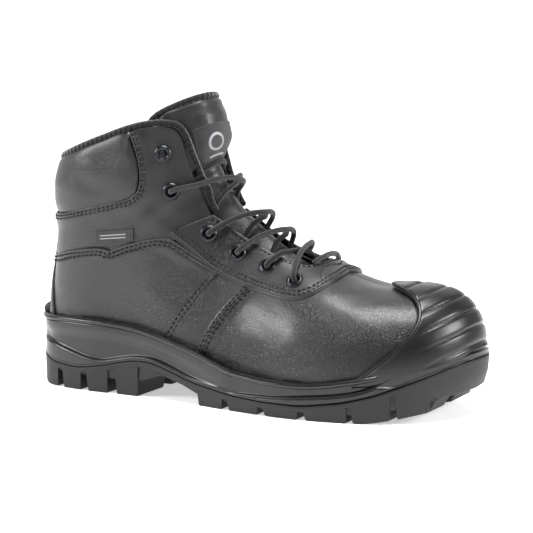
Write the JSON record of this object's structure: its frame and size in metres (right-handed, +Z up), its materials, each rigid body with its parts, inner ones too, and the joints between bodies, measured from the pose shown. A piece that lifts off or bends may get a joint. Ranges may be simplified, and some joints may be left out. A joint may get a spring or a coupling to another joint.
{
  "type": "steel toe work boot",
  "caption": "Ankle-high lace-up leather work boot with steel toe, rubber scuff cap, padded collar and tongue, and a cleated two-layer sole.",
  "frame": {"origin": "centre of the sole outline, on the ground the tread stands on", "axes": "+X to the toe, +Y to the inner (medial) side of this right boot, +Z up"},
  "size_m": [0.305, 0.115, 0.1936],
  "materials": {
    "outsole_rubber": "matte",
    "midsole_pu": "satin",
    "scuff_rubber": "satin",
    "plate_textile": "matte",
    "board": "matte",
    "footbed": "matte",
    "steel": "satin",
    "leather": "semi-matte full grain",
    "leather_soft": "semi-matte full grain",
    "lining_mesh": "matte",
    "counter_board": "matte",
    "foam": "matte",
    "binding_tape": "matte ribbed",
    "label_rubber": "matte",
    "gusset_cloth": "matte",
    "eyelet_metal": "black nickel",
    "lace_cord": "woven",
    "aglet_plastic": "gloss",
    "label_cloth": "woven"
  },
  "bodies": {
    "boot": {"outsole": "outsole_rubber", "midsole": "midsole_pu", "toe_scuff_cap": "scuff_rubber", "puncture_plate": "plate_textile", "insole_board": "board", "steel_toe_cap": "steel", "vamp": "leather", "vamp_lining": "lining_mesh", "quarter_lateral": "leather", "quarter_medial": "leather", "side_strap_lateral": "leather", "side_strap_medial": "leather", "ankle_panel_lateral": "leather", "ankle_panel_medial": "leather", "eyestay": "leather", "backstrap": "leather", "heel_counter": "counter_board", "collar_cuff": "leather_soft", "collar_foam": "foam", "collar_binding": "binding_tape", "quarter_lining_lateral": "lining_mesh", "quarter_lining_medial": "lining_mesh", "gusset_lateral": "gusset_cloth", "gusset_medial": "gusset_cloth", "eyelets_lateral": "eyelet_metal", "eyelets_medial": "eyelet_metal", "instep_eyelets": "eyelet_metal", "top_eyelet_lateral": "eyelet_metal", "top_eyelet_medial": "eyelet_metal", "lace": "lace_cord", "lace_aglets": "aglet_plastic", "side_label": "label_cloth"},
    "tongue": {"tongue_shell": "leather_soft", "tongue_foam": "foam", "tongue_lining": "lining_mesh", "tongue_binding": "binding_tape", "tongue_label": "label_rubber"},
    "footbed": {"insole": "footbed"}
  },
  "joints": [
    {"name": "tongue_tilt", "type": "hinge", "parent": "boot", "child": "tongue", "pos_m": [0.047, 0.005, 0.082], "axis": [0, -1, 0], "range_deg": [0, 12], "deforming": ["gusset_lateral", "gusset_medial"]},
    {"name": "insole_lift", "type": "hinge", "parent": "boot", "child": "footbed", "pos_m": [0.138, 0.009, 0.03], "axis": [0, 1, 0], "range_deg": [0, 4]}
  ]
}
